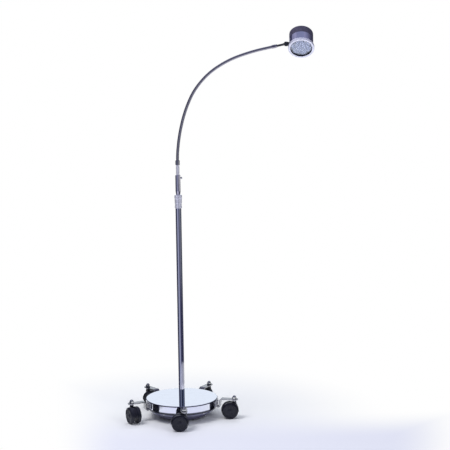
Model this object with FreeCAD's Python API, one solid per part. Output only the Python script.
import FreeCAD, Part
import math
import os

# Mobile examination light: a weighted round base on five swivel casters, a
# telescopic upright, a flexible neck and a small adjustable lamp head.
# Millimetres, +Z up.  The origin is the point of the floor under the upright.
# The neck bends over towards +X and the lamp looks towards -Y and down.

Vector = FreeCAD.Vector
ORIGIN = Vector(0, 0, 0)
X_AXIS = Vector(1, 0, 0)
Y_AXIS = Vector(0, 1, 0)
Z_AXIS = Vector(0, 0, 1)

# ------------------------------------------------- dimensions shared by sections
CLEARANCE = 0.05         # radial gap of turning and sliding fits

PAN_R = 158.1            # outside radius of the domed steel cover
PAN_T = 1.5              # sheet thickness of the cover
PAN_BOTTOM = 51.0        # underside of the cover's return flange
PLATE_T = 8.0            # plate cast with the ballast, under the flange

LEG_W = 28.0
LEG_T = 4.0
LEG_IN_R = 160.2         # centre line of the leg's inner flange
LEG_BAR_Z = 85.0         # centre line of the leg's top bar
LEG_BOLT_Z = (63.0, 75.0)
STEM_R = 237.1           # radius of the circle of caster stems
STEM_PIN_R = 5.5         # plain swivel pin of the stem
THREAD_R = 5.0           # threaded top of the stem

LEG_START = 4.16         # turn of the whole leg star about Z, degrees
# name, direction of the leg, direction the wheels trail (degrees from +X)
CASTERS = [
    ("front", -92.0, 180.0),
    ("right", -18.0, 180.0),
    ("back_right", 54.0, 180.0),
    ("back_left", 126.0, -20.0),
    ("left", 198.0, -65.0),
]
LEG_ANGLES = [angle + LEG_START for _, angle, _ in CASTERS]

POLE_R = 12.7            # fixed lower tube of the upright
POLE_RI = 11.2
POLE_BOTTOM = 55.0
POLE_TOP = 950.0
MAST_R = 8.0             # sliding upper tube
MAST_RI = 6.5
MAST_BOTTOM = 135.0
MAST_TOP = 1012.0

SOCKET_TOP = 1074.0      # neck socket on the mast
PLUG_R = 6.55            # neck plug inside the socket


# ------------------------------------------------------------------- helpers
def polar(radius, angle):
    """x and y of a point at an angle in degrees from +X."""
    return radius * math.cos(math.radians(angle)), radius * math.sin(math.radians(angle))


def corner_inset(radius):
    """How far the middle of a quarter round lies in from the sharp corner,
    along each axis."""
    return radius * (1 - math.sqrt(0.5))


def cylinder(radius, bottom, top, x=0.0, y=0.0):
    return Part.makeCylinder(radius, top - bottom, Vector(x, y, bottom))


def x_cylinder(radius, start, length, y=0.0, z=0.0):
    return Part.makeCylinder(radius, length, Vector(start, y, z), X_AXIS)


def y_cylinder(radius, start, length, x=0.0, z=0.0):
    return Part.makeCylinder(radius, length, Vector(x, start, z), Y_AXIS)


def ring(outer, inner, bottom, top):
    return cylinder(outer, bottom, top).cut(cylinder(inner, bottom - 1, top + 1))


def outline_face(points):
    """Face in the XZ plane inside a closed outline of (x, z) points, or
    (x, z, via_x, via_z) for an arc that reaches the point by way of the other."""
    edges = []
    start = Vector(points[0][0], 0, points[0][1])
    for point in points[1:] + [points[0]]:
        end = Vector(point[0], 0, point[1])
        # an outline that ends in an arc is already closed
        if (end - start).Length < 1e-7:
            continue
        if len(point) > 2:
            edges.append(Part.Arc(start, Vector(point[2], 0, point[3]), end).toShape())
        else:
            edges.append(Part.makeLine(start, end))
        start = end
    return Part.Face(Part.Wire(edges))


def revolve(points):
    """Solid turned about Z from an outline whose x values are radii."""
    return outline_face(points).revolve(ORIGIN, Z_AXIS, 360)


def fuse(shapes):
    return shapes[0].fuse(shapes[1:]).removeSplitter()


def placed(shape, angle, x=0.0, y=0.0, z=0.0):
    """Copy turned about Z, then moved."""
    copy = shape.copy()
    copy.rotate(ORIGIN, Z_AXIS, angle)
    copy.translate(Vector(x, y, z))
    return copy


# ------------------------------------------------------------ cover, ballast
PAN_TOP = 84.0
PAN_EDGE_R = 3.0         # rounding of the cover's top edge
PAN_FLANGE_R = 146.0     # inner radius of the return flange
PAN_BORE = POLE_R + 0.15

PLATE_R = 155.0
STEP_R = 144.5           # machined step under the plate
STEP_BOTTOM = 33.0
BALLAST_R = 115.0
BALLAST_BOTTOM = 12.0
BALLAST_BORE = 10.0
BALLAST_EDGE = 4.0       # rounding of the lower edge
BALLAST_FILLET = 5.0     # hollow under the step
BEVEL = 1.5              # bevels of the step and the plate
RECESS_R = 98.0          # ring-shaped recess in the underside
RECESS_RI = 26.0
RECESS_DEPTH = 12.0

# bolts of the legs and of the ballast
BOLT_R = 2.5
BOLT_HEAD_R = 4.6
BOLT_HEAD_H = 2.6
BOLT_SOCKET_R = 1.6
BOLT_NUT_R = 4.2
BOLT_NUT_H = 3.0
UNDER_BOLT_CIRCLE = 150.5
UNDER_BOLT_TURN = 36.0   # from each leg to the bolt after it, degrees

INLET_Z = 66.0
INLET_R = 7.0            # body through the cover's wall


def under_bolt_drill(leg_angle):
    x, y = polar(UNDER_BOLT_CIRCLE, leg_angle + UNDER_BOLT_TURN)
    return cylinder(BOLT_R, 40, PAN_BOTTOM + PAN_T + 0.01, x, y)


def base_pan():
    inner_edge = PAN_EDGE_R - PAN_T
    wall = PAN_R - PAN_T
    ceiling = PAN_TOP - PAN_T
    outer_inset = corner_inset(PAN_EDGE_R)
    inner_inset = corner_inset(inner_edge)
    pan = revolve([
        (PAN_BORE, PAN_TOP),
        (PAN_R - PAN_EDGE_R, PAN_TOP),
        (PAN_R, PAN_TOP - PAN_EDGE_R, PAN_R - outer_inset, PAN_TOP - outer_inset),
        (PAN_R, PAN_BOTTOM),
        (PAN_FLANGE_R, PAN_BOTTOM),
        (PAN_FLANGE_R, PAN_BOTTOM + PAN_T),
        (wall, PAN_BOTTOM + PAN_T),
        (wall, ceiling - inner_edge),
        (wall - inner_edge, ceiling, wall - inner_inset, ceiling - inner_inset),
        (PAN_BORE, ceiling),
    ])
    for angle in LEG_ANGLES:
        for z in LEG_BOLT_Z:
            pan = pan.cut(placed(x_cylinder(BOLT_R, PAN_R - 8, 8, z=z), angle))
        pan = pan.cut(under_bolt_drill(angle))
    # seat of the inlet in the rear wall
    return pan.cut(y_cylinder(INLET_R, PAN_R - 12, 20, z=INLET_Z))


def ballast_disc():
    edge_inset = corner_inset(BALLAST_EDGE)
    fillet_inset = corner_inset(BALLAST_FILLET)
    plate_bottom = PAN_BOTTOM - PLATE_T
    disc = revolve([
        (BALLAST_BORE, BALLAST_BOTTOM),
        (BALLAST_R - BALLAST_EDGE, BALLAST_BOTTOM),
        (BALLAST_R, BALLAST_BOTTOM + BALLAST_EDGE,
         BALLAST_R - edge_inset, BALLAST_BOTTOM + edge_inset),
        (BALLAST_R, STEP_BOTTOM - BALLAST_FILLET),
        (BALLAST_R + BALLAST_FILLET, STEP_BOTTOM,
         BALLAST_R + fillet_inset, STEP_BOTTOM - fillet_inset),
        (STEP_R - BEVEL, STEP_BOTTOM),
        (STEP_R, STEP_BOTTOM + BEVEL),
        (STEP_R, plate_bottom),
        (PLATE_R - BEVEL, plate_bottom),
        (PLATE_R, plate_bottom + BEVEL),
        (PLATE_R, PAN_BOTTOM),
        (BALLAST_BORE, PAN_BOTTOM),
    ])
    disc = disc.cut(ring(RECESS_R, RECESS_RI, BALLAST_BOTTOM - 1, BALLAST_BOTTOM + RECESS_DEPTH))
    for angle in LEG_ANGLES:
        disc = disc.cut(under_bolt_drill(angle))
    return disc


def leg_bolt(z):
    """Bolt along +X through the leg's inner flange and the cover's wall."""
    seat = LEG_IN_R + LEG_T / 2.0
    head = x_cylinder(BOLT_HEAD_R, seat, BOLT_HEAD_H, z=z)
    head = head.cut(x_cylinder(BOLT_SOCKET_R, seat + 1.0, 3, z=z))
    shank = x_cylinder(BOLT_R, PAN_R - 6, seat - PAN_R + 6, z=z)
    nut = x_cylinder(BOLT_NUT_R, PAN_R - PAN_T - 3.6, BOLT_NUT_H, z=z)
    return fuse([head, shank, nut])


def under_bolt(leg_angle):
    """Bolt from below through the plate and the cover's return flange."""
    x, y = polar(UNDER_BOLT_CIRCLE, leg_angle + UNDER_BOLT_TURN)
    seat = PAN_BOTTOM - PLATE_T
    flange_top = PAN_BOTTOM + PAN_T
    head = cylinder(BOLT_HEAD_R, seat - BOLT_HEAD_H, seat, x, y)
    head = head.cut(cylinder(BOLT_SOCKET_R, seat - 3, seat - 1, x, y))
    shank = cylinder(BOLT_R, seat - 0.01, flange_top + 3.2, x, y)
    nut = cylinder(BOLT_NUT_R, flange_top, flange_top + BOLT_NUT_H, x, y)
    return fuse([head, shank, nut])


def base_bolts():
    bolts = []
    for angle in LEG_ANGLES:
        for z in LEG_BOLT_Z:
            bolts.append(placed(leg_bolt(z), angle))
        bolts.append(under_bolt(angle))
    return Part.makeCompound(bolts)


# ----------------------------------------------------------- legs and stems
LEG_OUT_R = 174.0        # centre line of the leg's outer upright
LEG_FLANGE_TOP = 82.0
LEG_U_Z = 56.0           # centre of the U bend
LEG_BEND_R = 8.0         # centre-line bend at the top of the upright
LEG_END_R = 240.0        # centre of the rounded bar end

STEM_TOP = LEG_BAR_Z + 12.0

NUT_ACROSS = 17.0        # hexagon, across flats
NUT_H = 8.0              # hexagon top above the bar
WASHER_R = 9.6
WASHER_T = 1.4
DOME_R = 7.6


def leg():
    """Flat bar bent in a U under the rim of the cover and out to the stem."""
    half = LEG_T / 2.0
    u_radius = (LEG_OUT_R - LEG_IN_R) / 2.0
    u_x = LEG_IN_R + u_radius
    bend_x = LEG_OUT_R + LEG_BEND_R
    bend_z = LEG_BAR_Z - LEG_BEND_R
    under, over = LEG_BAR_Z - half, LEG_BAR_Z + half
    tight = corner_inset(LEG_BEND_R - half)
    wide = corner_inset(LEG_BEND_R + half)
    bar = outline_face([
        (LEG_IN_R - half, LEG_FLANGE_TOP),
        (LEG_IN_R - half, LEG_U_Z),
        (LEG_OUT_R + half, LEG_U_Z, u_x, LEG_U_Z - u_radius - half),
        (LEG_OUT_R + half, bend_z),
        (bend_x, under, LEG_OUT_R + half + tight, under - tight),
        (LEG_END_R, under),
        (LEG_END_R, over),
        (bend_x, over),
        (LEG_OUT_R - half, bend_z, LEG_OUT_R - half + wide, over - wide),
        (LEG_OUT_R - half, LEG_U_Z),
        (LEG_IN_R + half, LEG_U_Z, u_x, LEG_U_Z - u_radius + half),
        (LEG_IN_R + half, LEG_FLANGE_TOP),
    ]).extrude(Vector(0, LEG_W, 0))
    bar.translate(Vector(0, -LEG_W / 2.0, 0))
    tip = cylinder(LEG_W / 2.0, under, over, LEG_END_R, 0)
    body = fuse([bar, tip])
    body = body.cut(cylinder(THREAD_R, LEG_BAR_Z - 5, LEG_BAR_Z + 5, STEM_R, 0))
    for z in LEG_BOLT_Z:
        body = body.cut(x_cylinder(BOLT_R, LEG_IN_R - 5, 10, z=z))
    return body


def legs():
    shape = leg()
    return Part.makeCompound([placed(shape, angle) for angle in LEG_ANGLES])


def caster_stems():
    """Threaded stems with a collar under the bar and a plain swivel pin."""
    bar_bottom = LEG_BAR_Z - LEG_T / 2.0
    stem = fuse([
        cylinder(STEM_PIN_R, 51.0, 79.0),
        cylinder(7.5, 78.0, bar_bottom),
        cylinder(THREAD_R, bar_bottom - 0.01, STEM_TOP),
    ])
    return Part.makeCompound([placed(stem, 0, *polar(STEM_R, angle)) for angle in LEG_ANGLES])


def hexagon(across, bottom, top):
    corner_r = across / 2.0 / math.cos(math.pi / 6)
    corners = [Vector(*polar(corner_r, 60 * i), bottom) for i in range(7)]
    return Part.Face(Part.makePolygon(corners)).extrude(Vector(0, 0, top - bottom))


def caster_cap_nuts():
    seat = LEG_BAR_Z + LEG_T / 2.0
    top = seat + NUT_H
    body = hexagon(NUT_ACROSS, seat + WASHER_T, top)
    washer = cylinder(WASHER_R, seat, seat + WASHER_T)
    dome = Part.makeSphere(DOME_R, Vector(0, 0, top)).common(cylinder(9, top, top + 12))
    # thin disc that joins the dome to the hexagon
    joint = cylinder(DOME_R, top - 0.1, top + 0.01)
    nut = fuse([body, washer, dome, joint]).cut(cylinder(THREAD_R, seat - 1, STEM_TOP))
    return Part.makeCompound([placed(nut, angle, *polar(STEM_R, angle)) for angle in LEG_ANGLES])


# ----------------------------------------------- pole, foot, inlet and cable
NOTCH_W = 14.0           # opening towards +Y through which the cable enters
NOTCH_D = 20.0
NOTCH_H = 27.0
FOOT_FLOOR = 57.0        # bottom of the foot's wide bore

# radius, start measured from the cover's wall, length; all along +Y
INLET_STEPS = [
    (INLET_R, -9.0, 10.0),           # body
    (11.0, 0.35, 2.6),               # outer flange
    (8.0, 2.95, 6.4),                # collar round the mouth
    (10.0, -PAN_T - 4.6, 4.0),       # nut inside the cover
]
INLET_BORES = [
    (3.5, -6.65, 20.0),              # blind mouth
    (2.6, -10.0, 1.2),               # recess for the cable end
]

CABLE_R = 2.5
CABLE_START = PAN_R - 9.4
CABLE_BEND = 16.0
CABLE_TOP = 900.0


def cable_notch(bottom):
    return Part.makeBox(NOTCH_W, NOTCH_D, NOTCH_H, Vector(-NOTCH_W / 2.0, 0, bottom))


def pole_foot():
    foot = revolve([
        (6.0, BALLAST_BOTTOM + 2),
        (BALLAST_BORE, BALLAST_BOTTOM + 2),
        (BALLAST_BORE, PAN_BOTTOM),
        (38.0, PAN_BOTTOM),
        (38.0, PAN_BOTTOM + 2.5),
        (36.5, POLE_BOTTOM),
        (POLE_RI, POLE_BOTTOM),
        (POLE_RI, 105.0),
        (8.5, 105.0),
        (8.5, FOOT_FLOOR),
        (6.0, FOOT_FLOOR),
    ])
    return foot.cut(cable_notch(FOOT_FLOOR))


def pole_tube():
    return ring(POLE_R, POLE_RI, POLE_BOTTOM, POLE_TOP).cut(cable_notch(POLE_BOTTOM - 0.01))


def power_inlet():
    """Flanged socket in the cover's rear wall."""
    inlet = fuse([y_cylinder(radius, PAN_R + start, length, z=INLET_Z)
                  for radius, start, length in INLET_STEPS])
    for radius, start, length in INLET_BORES:
        inlet = inlet.cut(y_cylinder(radius, PAN_R + start, length, z=INLET_Z))
    return inlet


def pole_cable():
    """From the inlet straight to the middle, then up inside the upright."""
    start = Vector(0, CABLE_START, INLET_Z)
    bend_start = Vector(0, CABLE_BEND, INLET_Z)
    bend_middle = Vector(0, corner_inset(CABLE_BEND), INLET_Z + corner_inset(CABLE_BEND))
    bend_end = Vector(0, 0, INLET_Z + CABLE_BEND)
    path = Part.Wire([
        Part.makeLine(start, bend_start),
        Part.Arc(bend_start, bend_middle, bend_end).toShape(),
        Part.makeLine(bend_end, Vector(0, 0, CABLE_TOP)),
    ])
    section = Part.Wire(Part.makeCircle(CABLE_R, start, Vector(0, -1, 0)))
    return path.makePipeShell([section], True, False)


# ------------------------------------------------------------------- casters
# Built with the stem on Z and the wheels trailing towards +X.
WHEEL_R = 35.5           # also the height of the axle
WHEEL_IN = 7.8           # inner face of each wheel from the middle plane
WHEEL_OUT = 24.2
WHEEL_ROUND = 6.0        # rounding of both tread edges
TRAIL = 19.5             # stem to axle
AXLE_R = 4.0
AXLE_CAP_R = 6.4
HOOD_RI = 36.6
HOOD_RO = 38.2
HOOD_W = 24.8            # half width
HOOD_ROUND = 7.0
HOOD_WEB = 6.8           # half width of the web between the wheels
HOOD_VALLEY = 5.2        # depth of the valley between the fender's two lobes
HOOD_DROP = 4.0          # lower edge of the hood below the axle
AXLE_CENTRE = Vector(TRAIL, 0, WHEEL_R)


def on_axle(radius, start, end):
    return y_cylinder(radius, start, end - start, TRAIL, WHEEL_R)


def turned_to_axle(shape, angle):
    """Move a shape from Z to the axle; an angle of -90 lays +Z on +Y."""
    shape.rotate(ORIGIN, X_AXIS, angle)
    shape.translate(AXLE_CENTRE)
    return shape


def caster_hood():
    """Curved fender over both wheels, middle web and stem boss."""
    flat = HOOD_W - HOOD_ROUND               # half width before the rounding
    rise = HOOD_ROUND - HOOD_RO + HOOD_RI    # inner face above the rounding's centre
    reach = flat + math.sqrt(HOOD_ROUND ** 2 - rise ** 2)
    middle = (math.asin(rise / HOOD_ROUND) + math.pi / 2) / 2
    via_y = flat + HOOD_ROUND * math.cos(middle)
    via_r = HOOD_RO - HOOD_ROUND + HOOD_ROUND * math.sin(middle)
    fender = turned_to_axle(revolve([
        (HOOD_RI, -reach),
        (HOOD_RI, reach),
        (HOOD_RO, flat, via_r, via_y),
        (HOOD_RO, -flat),
        (HOOD_RI, -reach, via_r, -via_y),
    ]), -90)
    below = Part.makeBox(120, 80, 60, Vector(TRAIL - 60, -40, WHEEL_R - HOOD_DROP - 60))
    fender = fender.cut(below)
    web = on_axle(HOOD_RO - 0.5, -HOOD_WEB, HOOD_WEB).cut(below)

    # valley along the middle, shallow enough to leave the lobes on the web
    edge = HOOD_RI + 1.0
    low = HOOD_RO - HOOD_VALLEY
    valley_r = (HOOD_WEB ** 2 + (edge - low) ** 2) / (2.0 * (edge - low))
    valley = Part.makeTorus(low + valley_r, valley_r, AXLE_CENTRE, Y_AXIS)
    fender = fender.cut(valley)
    web = web.cut(valley)

    hub = on_axle(13.0, -HOOD_WEB, HOOD_WEB)
    # the boss keeps clear of the wheels on both sides of the web
    wheel_space = on_axle(HOOD_RI + 0.2, -30, 30)
    beside_web = wheel_space.cut(on_axle(HOOD_RI + 0.2, -HOOD_WEB, HOOD_WEB))
    boss = cylinder(8.5, 56.0, 77.5).cut(beside_web)
    collar = cylinder(9.6, 64.0, 70.0).cut(wheel_space)
    hood = fuse([fender, web, hub, boss, collar])
    hood = hood.cut(cylinder(STEM_PIN_R + CLEARANCE, 50.0, 80.0))
    return hood.cut(on_axle(AXLE_R, -20, 20))


def caster_wheel(angle):
    """Wheel with rounded tread edges, dished outer face and hub."""
    bore = AXLE_R + CLEARANCE
    side = WHEEL_R - WHEEL_ROUND
    via_r = WHEEL_R - corner_inset(WHEEL_ROUND)
    return turned_to_axle(revolve([
        (bore, WHEEL_IN),
        (side, WHEEL_IN),
        (WHEEL_R, WHEEL_IN + WHEEL_ROUND, via_r, WHEEL_IN + corner_inset(WHEEL_ROUND)),
        (WHEEL_R, WHEEL_OUT - WHEEL_ROUND),
        (side, WHEEL_OUT, via_r, WHEEL_OUT - corner_inset(WHEEL_ROUND)),
        (side - 1.4, WHEEL_OUT),
        (side - 2.2, WHEEL_OUT - 2.2),
        (12.0, WHEEL_OUT - 3.4),
        (10.5, WHEEL_OUT - 1.6),
        (bore, WHEEL_OUT - 1.6),
    ]), angle)


def caster_axle():
    """Axle with a flat cap in each wheel's outer face."""
    return fuse([
        on_axle(AXLE_R, -WHEEL_OUT + 1.2, WHEEL_OUT - 1.2),
        on_axle(AXLE_CAP_R, WHEEL_OUT - 1.35, WHEEL_OUT - 0.3),
        on_axle(AXLE_CAP_R, -WHEEL_OUT + 0.3, -WHEEL_OUT + 1.35),
    ])


def casters():
    pieces = {
        "hood": caster_hood(),
        "axle": caster_axle(),
        "wheel_a": caster_wheel(-90),
        "wheel_b": caster_wheel(90),
    }
    return {
        "caster_%s_%s" % (piece, name): placed(shape, trail, *polar(STEM_R, angle + LEG_START))
        for name, angle, trail in CASTERS
        for piece, shape in pieces.items()
    }


# ------------------------------------------------------------------- upright
LOCK_BOTTOM = 930.0      # twist lock on top of the pole
LOCK_SHOULDER = 956.0
LOCK_TOP = 987.0
LOCK_FLUTES = 18

SOCKET_BOTTOM = 989.0
SOCKET_R = 11.0
SOCKET_FLOOR = 1022.0    # bottom of the plug's bore
SCREW_Z = 1061.0
SCREW_FLUTES = 10
# radius, start x, length
SCREW_STEPS = [
    (2.0, PLUG_R + 0.12, 6.4),       # shank
    (2.8, SOCKET_R + 0.4, 2.2),      # neck
    (4.6, SOCKET_R + 2.4, 5.2),      # knob
]


def lock_sleeve():
    mast_bore = MAST_R + 0.06
    return revolve([
        (POLE_R, LOCK_BOTTOM),
        (14.6, LOCK_BOTTOM),
        (15.2, LOCK_BOTTOM + 0.6),
        (15.2, LOCK_BOTTOM + 8),
        (14.4, LOCK_BOTTOM + 9),
        (14.4, LOCK_SHOULDER - 6),
        (15.2, LOCK_SHOULDER - 5),
        (15.2, LOCK_SHOULDER),
        (12.4, LOCK_SHOULDER),
        (12.4, 969.0),
        (mast_bore, 969.0),
        (mast_bore, POLE_TOP),
        (POLE_R, POLE_TOP),
    ])


def lock_nut():
    nut = revolve([
        (12.5, LOCK_SHOULDER + 0.3),
        (15.0, LOCK_SHOULDER + 0.3),
        (15.6, LOCK_SHOULDER + 1.0),
        (15.6, 971.0),
        (16.6, 973.0),
        (16.6, 984.0),
        (14.6, LOCK_TOP),
        (9.6, LOCK_TOP),
        (MAST_R + 0.3, 985.6),
        (MAST_R + 0.3, 969.6),
        (12.5, 969.6),
    ])
    for i in range(LOCK_FLUTES):
        x, y = polar(17.1, i * 360 / LOCK_FLUTES)
        nut = nut.cut(cylinder(1.1, 972.0, LOCK_TOP + 1, x, y))
    return nut


def mast_bush():
    """Guide on the mast's lower end that slides in the pole."""
    slide_r = POLE_RI - 0.08
    return revolve([
        (5.5, 131.0),
        (10.6, 131.0),
        (slide_r, 132.0),
        (slide_r, 170.0),
        (10.6, 171.0),
        (MAST_R, 171.0),
        (MAST_R, MAST_BOTTOM),
        (5.5, MAST_BOTTOM),
    ])


def neck_socket():
    bore = PLUG_R + CLEARANCE
    socket = revolve([
        (MAST_R, SOCKET_BOTTOM),
        (8.8, SOCKET_BOTTOM),
        (SOCKET_R, 1004.0),
        (SOCKET_R, SOCKET_TOP - 1.2),
        (SOCKET_R - 1.2, SOCKET_TOP),
        (bore, SOCKET_TOP),
        (bore, SOCKET_FLOOR),
        (4.0, SOCKET_FLOOR),
        (4.0, MAST_TOP),
        (MAST_R, MAST_TOP),
    ])
    # two grooves round the outside
    for z in (1010.0, 1068.0):
        socket = socket.cut(ring(SOCKET_R + 1, SOCKET_R - 0.5, z, z + 1.0))
    return socket.cut(x_cylinder(2.05, 3, 12, z=SCREW_Z))


def thumb_screw():
    screw = fuse([x_cylinder(radius, start, length, z=SCREW_Z)
                  for radius, start, length in SCREW_STEPS])
    for i in range(SCREW_FLUTES):
        y, z = polar(4.9, i * 360 / SCREW_FLUTES)
        screw = screw.cut(x_cylinder(0.6, SOCKET_R + 2.0, 7, y, SCREW_Z + z))
    return screw


# ---------------------------------------------------------------------- neck
# Arcs in the XZ plane, from the top of the plug.
PLUG_TOP = 1138.0
NECK_START = 1126.0      # first piece's seat inside the plug
ROD_R = 7.5              # plug above the socket
NECK_R = 6.35
NECK_RI = 3.5
NECK_PITCH = 102.7       # length of a full piece
NECK_BENDS = [6.1, 7.6, 9.8, 18.0, 17.5, 12.6, 6.6, 0.5]   # degrees
NECK_SHARE = [0.5, 1, 1, 1, 1, 1, 1, 0.5]                  # of the pitch
CUP_R = 6.55             # hollow ball seat at the start of a piece
MOUTH = 7.0              # straight mouth at the start of each later piece

ARM_R = 5.0              # bore of the end ferrule
KNUCKLE_X = 474.0
TONGUE_R = 8.2
TONGUE_H = 7.0
PIN_R = 3.0


def neck_joints():
    """(x, z, tilt of the tangent from +Z in degrees) at each joint."""
    x, z, tilt = 0.0, PLUG_TOP, 0.0
    joints = [(x, z, tilt)]
    for i, (bend, share) in enumerate(zip(NECK_BENDS, NECK_SHARE)):
        straight = MOUTH if i else 0.0
        start = math.radians(tilt)
        end = start + math.radians(bend)
        radius = (NECK_PITCH * share - straight) / math.radians(bend)
        x += straight * math.sin(start) + radius * (math.cos(start) - math.cos(end))
        z += straight * math.cos(start) + radius * (math.sin(end) - math.sin(start))
        tilt += bend
        joints.append((x, z, tilt))
    return joints


JOINTS = neck_joints()
# the knuckle lies where the neck's last direction meets its own X
END_X, END_Z, END_TILT = JOINTS[-1]
KNUCKLE_Z = END_Z + (KNUCKLE_X - END_X) / math.tan(math.radians(END_TILT))


def along(shape, x, z, tilt):
    """Shape built on +Z, turned to the tangent and moved to the point."""
    copy = shape.copy()
    copy.rotate(ORIGIN, Y_AXIS, tilt)
    copy.translate(Vector(x, 0, z))
    return copy


def arc_tube(length, bend):
    """Piece of the neck tube that leaves the origin along +Z, bent to +X."""
    section = Part.Face([
        Part.Wire(Part.makeCircle(NECK_R, ORIGIN, Z_AXIS)),
        Part.Wire(Part.makeCircle(NECK_RI, ORIGIN, Vector(0, 0, -1))),
    ])
    return section.revolve(Vector(length / math.radians(bend), 0, 0), Y_AXIS, bend)


def height_on_ball(ball_r, radius):
    return math.sqrt(ball_r ** 2 - radius ** 2)


def neck_plug():
    return revolve([
        (NECK_RI, 1024.0),
        (PLUG_R - 0.8, 1024.0),
        (PLUG_R, 1025.0),
        (PLUG_R, SOCKET_TOP + 0.3),
        (ROD_R, SOCKET_TOP + 0.3),
        (ROD_R, 1117.0),
        (9.5, 1119.0),
        (9.5, PLUG_TOP - 2.0),
        (8.4, PLUG_TOP),
        (NECK_R, PLUG_TOP),
        (NECK_R, NECK_START),
        (NECK_RI, NECK_START),
    ])


def gooseneck():
    """Eight tubes; each ends in a ball that sits in the next one's mouth."""
    ball = revolve([
        (NECK_RI, 0.0),
        (NECK_R, 0.0),
        (NECK_RI, height_on_ball(NECK_R, NECK_RI), *polar(NECK_R, 28)),
    ])
    lip = NECK_R - 0.3
    mouth = revolve([
        (lip, height_on_ball(CUP_R, lip)),
        (NECK_RI, height_on_ball(CUP_R, NECK_RI), *polar(CUP_R, 40)),
        (NECK_RI, MOUTH),
        (NECK_R, MOUTH),
        (NECK_R, height_on_ball(CUP_R, lip) + 0.3),
    ])
    tubes = {}
    for i, (bend, share) in enumerate(zip(NECK_BENDS, NECK_SHARE)):
        x, z, tilt = JOINTS[i]
        if i == 0:
            straight = 0.0
            pieces = [ring(NECK_R, NECK_RI, NECK_START, PLUG_TOP)]
        else:
            straight = MOUTH
            pieces = [along(mouth, x, z, tilt)]
        arc_x = x + straight * math.sin(math.radians(tilt))
        arc_z = z + straight * math.cos(math.radians(tilt))
        arc = arc_tube(NECK_PITCH * share - straight, bend)
        pieces.append(along(arc, arc_x, arc_z, tilt))
        if i < len(NECK_BENDS) - 1:
            pieces.append(along(ball, *JOINTS[i + 1]))
        tubes["gooseneck_%d" % (i + 1)] = pieces[0].fuse(pieces[1:])
    return tubes


def neck_end_ferrule():
    bore = NECK_R + CLEARANCE
    ferrule = revolve([
        (bore, -14.0),
        (7.2, -14.0),
        (7.7, -13.4),
        (7.7, 0.4),
        (7.1, 1.2),
        (6.9, 8.4),
        (6.3, 9.0),
        (ARM_R, 9.0),
        (ARM_R, 0.2),
        (bore, 0.2),
    ])
    return along(ferrule, END_X, END_Z, END_TILT)


def arm_rod():
    """Rod from the ferrule to the knuckle, with a flat eye for the pin."""
    tilt = math.radians(END_TILT)
    start = Vector(END_X, 0, END_Z) + Vector(math.sin(tilt), 0, math.cos(tilt)) * 0.5
    direction = Vector(KNUCKLE_X, 0, KNUCKLE_Z) - start
    length = direction.Length
    direction.normalize()
    rod = Part.makeCylinder(ARM_R - 0.25, length - TONGUE_R - 2.4, start, direction)
    bottom, top = KNUCKLE_Z - TONGUE_H / 2.0, KNUCKLE_Z + TONGUE_H / 2.0
    flat = Part.makeBox(14, 9.0, TONGUE_H, Vector(KNUCKLE_X - 14, -4.5, bottom))
    eye = cylinder(TONGUE_R, bottom, top, KNUCKLE_X, 0)
    arm = fuse([rod, flat, eye])
    return arm.cut(cylinder(PIN_R + CLEARANCE, KNUCKLE_Z - 10, KNUCKLE_Z + 10, KNUCKLE_X, 0))


# ------------------------------------------------------------------- knuckle
# Frame: X along the tilt pivot, origin on the upright pin.
HEAD_PAN = -4.55         # turn about the pin, degrees
FORK_R = 8.6
SLOT_HALF = TONGUE_H / 2.0 + 0.1
FORK_HALF = SLOT_HALF + 5.0          # slot and one cheek
SPIGOT_R = 5.0           # tilt pivot


def at_knuckle(shape):
    return placed(shape, HEAD_PAN, KNUCKLE_X, 0, KNUCKLE_Z)


def knuckle_fork():
    body = fuse([cylinder(FORK_R, -FORK_HALF, FORK_HALF), x_cylinder(8.2, 4.0, 8.35)])
    body = body.common(cylinder(20, -FORK_HALF, FORK_HALF))
    # the slot is open towards the arm and a little past the pin
    slot = Part.makeBox(44, 40, 2 * SLOT_HALF, Vector(-40, -20, -SLOT_HALF))
    slot = slot.fuse(cylinder(TONGUE_R + 0.25, -SLOT_HALF, SLOT_HALF))
    fork = fuse([body.cut(slot), x_cylinder(SPIGOT_R, 12.0, 7.8)])
    return at_knuckle(fork.cut(cylinder(PIN_R, -20, 20)))


def knuckle_pin():
    return at_knuckle(fuse([
        cylinder(PIN_R, -FORK_HALF, FORK_HALF),
        cylinder(4.6, FORK_HALF, FORK_HALF + 1.2),
        cylinder(4.6, -FORK_HALF - 1.2, -FORK_HALF),
    ]))


# ----------------------------------------------------------------- lamp head
# Frame: X along the tilt pivot, Z to the rear, origin on the head's axis.
HEAD_TILT = -48.0        # turn about the pivot, degrees
HEAD_OFFSET = 64.0       # knuckle pin to the head's axis
HEAD_R = 51.5
HEAD_RI = 49.3
HOUSING_FRONT = -25.5
HOUSING_REAR = 24.0
CAP_REAR = 60.0
CAP_ROUND = 5.0
BEZEL_R = 56.0
BEZEL_FRONT = -30.5
BEZEL_REAR = -18.1
BEZEL_IN_R = 46.0
BEZEL_ROUND = 3.0
LENS_FRONT = -27.0
LENS_T = 2.5
CUPS_FRONT = -24.4       # mouth of the reflector cups
CUPS_REAR = -11.1        # back of the cups, where the board starts
BOARD_REAR = CUPS_REAR + 1.6
CUP_WALL_R = 14.7
CUP_MOUTH_R = 13.4
CUP_THROAT_R = 4.2
CUP_BANDS = 6            # conical bands that follow the parabola
SINK_R = HEAD_RI - 5.0
SINK_REAR = 10.0
BUTTON_R = 6.9
SCREW_R = 1.5            # rear screws
VENT_RADII = (16.0, 22.0, 28.0)
VENT_W = 2.2
VENT_SPAN = 44.0         # degrees

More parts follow.
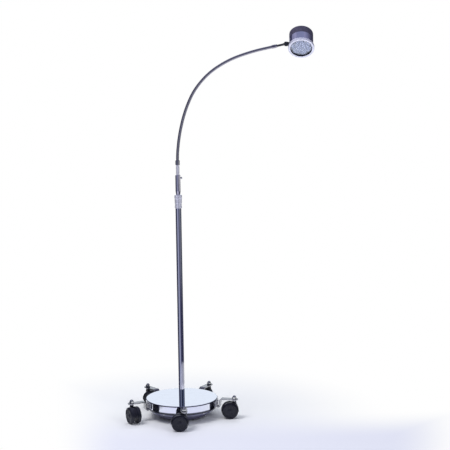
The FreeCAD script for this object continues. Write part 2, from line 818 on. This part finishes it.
# one cup in the middle and six round it
CUP_PLACES = [(0.0, 0.0)] + [polar(28.8, -105.0 + 60 * i) for i in range(6)]
SCREW_PLACES = [polar(39.0, 90 + 120 * i) for i in range(3)]


def to_head(shape):
    copy = shape.copy()
    copy.rotate(ORIGIN, X_AXIS, HEAD_TILT)
    copy.translate(Vector(HEAD_OFFSET, 0, 0))
    return at_knuckle(copy)


def head_housing():
    """Front shell with the pivot boss on its -X wall."""
    shell = revolve([
        (HEAD_RI, HOUSING_FRONT),
        (HEAD_R, HOUSING_FRONT),
        (HEAD_R, 22.2),
        (HEAD_R - 0.8, HOUSING_REAR - 1.0),
        (HEAD_R - 0.8, HOUSING_REAR),
        (HEAD_RI, HOUSING_REAR),
    ])
    shell = fuse([shell, x_cylinder(8.8, -50.2, 2.6)])
    return to_head(shell.cut(x_cylinder(SPIGOT_R + CLEARANCE, -60, 20)))


def pivot_nut():
    return to_head(x_cylinder(7.8, -47.5, 3.1).cut(x_cylinder(SPIGOT_R, -60, 30)))


def vent_slot(radius, start):
    """Curved slot through the cap's rear wall, from a start angle."""
    inner, outer = radius - VENT_W / 2.0, radius + VENT_W / 2.0
    middle, end = start + VENT_SPAN / 2.0, start + VENT_SPAN

    def point(at_radius, angle):
        return Vector(*polar(at_radius, angle), CAP_REAR - 5)

    edges = [
        Part.Arc(point(inner, start), point(inner, middle), point(inner, end)).toShape(),
        Part.makeLine(point(inner, end), point(outer, end)),
        Part.Arc(point(outer, end), point(outer, middle), point(outer, start)).toShape(),
        Part.makeLine(point(outer, start), point(inner, start)),
    ]
    return Part.Face(Part.Wire(edges)).extrude(Vector(0, 0, 7))


def rear_cap():
    """Rear shell with spigot ring, three screw pillars and vent slots."""
    inset = corner_inset(CAP_ROUND)
    cap = revolve([
        (46.6, 20.0),
        (HEAD_RI - 0.1, 20.0),
        (HEAD_RI - 0.1, HOUSING_REAR + 0.3),
        (HEAD_R, HOUSING_REAR + 0.3),
        (HEAD_R, CAP_REAR - CAP_ROUND),
        (HEAD_R - CAP_ROUND, CAP_REAR, HEAD_R - inset, CAP_REAR - inset),
        (0.0, CAP_REAR),
        (0.0, CAP_REAR - 2.5),
        (HEAD_R - 6.4, CAP_REAR - 2.5),
        (HEAD_R - 2.6, CAP_REAR - 6.4, HEAD_R - 3.6, CAP_REAR - 3.6),
        (HEAD_R - 2.6, HOUSING_REAR + 3),
        (46.6, HOUSING_REAR + 2),
    ])
    cap = fuse([cap] + [cylinder(3.8, 10.3, CAP_REAR - 1.0, x, y) for x, y in SCREW_PLACES])
    for x, y in SCREW_PLACES:
        cap = cap.cut(cylinder(SCREW_R, 5, 70, x, y))
        cap = cap.cut(cylinder(3.0, CAP_REAR - 2.4, 70, x, y))
    for radius in VENT_RADII:
        for i in range(6):
            cap = cap.cut(vent_slot(radius, 60 * i + 8))
    return to_head(cap.cut(cylinder(BUTTON_R + 0.15, CAP_REAR - 5, CAP_REAR + 2)))


def head_screws():
    screws = []
    for x, y in SCREW_PLACES:
        screw = fuse([
            cylinder(2.8, CAP_REAR - 2.4, CAP_REAR - 0.4, x, y),
            cylinder(SCREW_R, 7.0, CAP_REAR - 2.3, x, y),
        ])
        screw = screw.cut(cylinder(1.2, CAP_REAR - 1.5, CAP_REAR + 1, x, y))
        screws.append(to_head(screw))
    return Part.makeCompound(screws)


def heat_sink():
    """Cooling body behind the board, with eleven fins to the rear."""
    sink = fuse([
        cylinder(SINK_R, BOARD_REAR, BOARD_REAR + 2.5),
        cylinder(24.0, BOARD_REAR + 2.4, -0.9),
        cylinder(SINK_R, -1.0, SINK_REAR),
        ring(HEAD_RI, HEAD_RI - 6.0, SINK_REAR - 2.0, SINK_REAR),
    ])
    # room for the pivot nut
    sink = sink.cut(Part.makeBox(14, 30, 26, Vector(-52, -15, -12)))
    fins = []
    for i in range(-5, 6):
        fin = Part.makeBox(80, 1.8, 36.0, Vector(-40, 7.0 * i - 0.9, SINK_REAR - 0.5))
        fins.append(fin.common(cylinder(42.0, 0, 50)))
    sink = fuse([sink] + fins)
    for x, y in SCREW_PLACES:
        sink = sink.cut(cylinder(4.4, SINK_REAR, 60, x, y))
        sink = sink.cut(cylinder(SCREW_R, 0, 60, x, y))
    return to_head(sink.cut(cylinder(11.0, 30.0, 60)))


def leds():
    """Square base with a half-ball lens in each cup."""
    lamps = []
    face = CUPS_REAR - 1.0
    for x, y in CUP_PLACES:
        ball = Part.makeSphere(2.2, Vector(x, y, face))
        lamps.append(to_head(fuse([
            Part.makeBox(5, 5, 1.0, Vector(x - 2.5, y - 2.5, face)),
            ball.common(cylinder(3, CUPS_REAR - 7, face + 0.01, x, y)),
        ])))
    return Part.makeCompound(lamps)


def reflector():
    """Seven parabolic cups side by side."""
    body = fuse([cylinder(CUP_WALL_R, CUPS_FRONT, CUPS_REAR, x, y) for x, y in CUP_PLACES])
    depth = CUPS_REAR - 0.6 - CUPS_FRONT
    outline = [(0.0, CUPS_REAR + 1), (CUP_THROAT_R, CUPS_REAR + 1)]
    for i in range(CUP_BANDS):
        radius = CUP_THROAT_R + (CUP_MOUTH_R - CUP_THROAT_R) * i / CUP_BANDS
        share = (radius ** 2 - CUP_THROAT_R ** 2) / (CUP_MOUTH_R ** 2 - CUP_THROAT_R ** 2)
        outline.append((radius, CUPS_REAR - 1.0 - depth * share))
    outline += [(CUP_MOUTH_R, CUPS_FRONT - 1), (0.0, CUPS_FRONT - 1)]
    cavity = revolve(outline)
    for x, y in CUP_PLACES:
        body = body.cut(placed(cavity, 0, x, y))
    return to_head(body)


def bezel_ring():
    inset = corner_inset(BEZEL_ROUND)
    return to_head(revolve([
        (BEZEL_IN_R, LENS_FRONT - 0.05),
        (BEZEL_IN_R, BEZEL_FRONT + 1.5),
        (BEZEL_IN_R + 1.5, BEZEL_FRONT),
        (BEZEL_R - BEZEL_ROUND, BEZEL_FRONT),
        (BEZEL_R, BEZEL_FRONT + BEZEL_ROUND, BEZEL_R - inset, BEZEL_FRONT + inset),
        (BEZEL_R, BEZEL_REAR - 1.0),
        (BEZEL_R - 1.0, BEZEL_REAR),
        (HEAD_R, BEZEL_REAR),
        (HEAD_R, HOUSING_FRONT),
        (HEAD_RI, HOUSING_FRONT),
        (HEAD_RI, LENS_FRONT - 0.05),
    ]))


def power_button():
    return to_head(revolve([
        (0.0, 54.2),
        (8.6, 54.2),
        (8.6, 56.8),
        (BUTTON_R, 56.8),
        (BUTTON_R, CAP_REAR + 1.6),
        (BUTTON_R - 1.0, CAP_REAR + 2.6),
        (0.0, CAP_REAR + 2.6),
    ]))


# -------------------------------------------------------------------- export
PARTS = {
    "mast_tube": ring(MAST_R, MAST_RI, MAST_BOTTOM, MAST_TOP),
    "led_board": to_head(cylinder(34.6, CUPS_REAR, BOARD_REAR)),
    "lens_glass": to_head(cylinder(HEAD_RI - 0.3, LENS_FRONT, LENS_FRONT + LENS_T)),
}
PARTS.update(casters())
PARTS.update(gooseneck())
# each of these pieces is named after its function
for build in (
    base_pan, ballast_disc, base_bolts, legs, caster_stems, caster_cap_nuts,
    pole_foot, pole_tube, power_inlet, pole_cable,
    lock_sleeve, lock_nut, mast_bush, neck_socket, thumb_screw,
    neck_plug, neck_end_ferrule, arm_rod, knuckle_fork, knuckle_pin,
    head_housing, pivot_nut, rear_cap, head_screws, heat_sink,
    leds, reflector, bezel_ring, power_button,
):
    PARTS[build.__name__] = build()

os.makedirs("parts", exist_ok=True)
for name, shape in PARTS.items():
    shape.exportStep("parts/%s.step" % name)
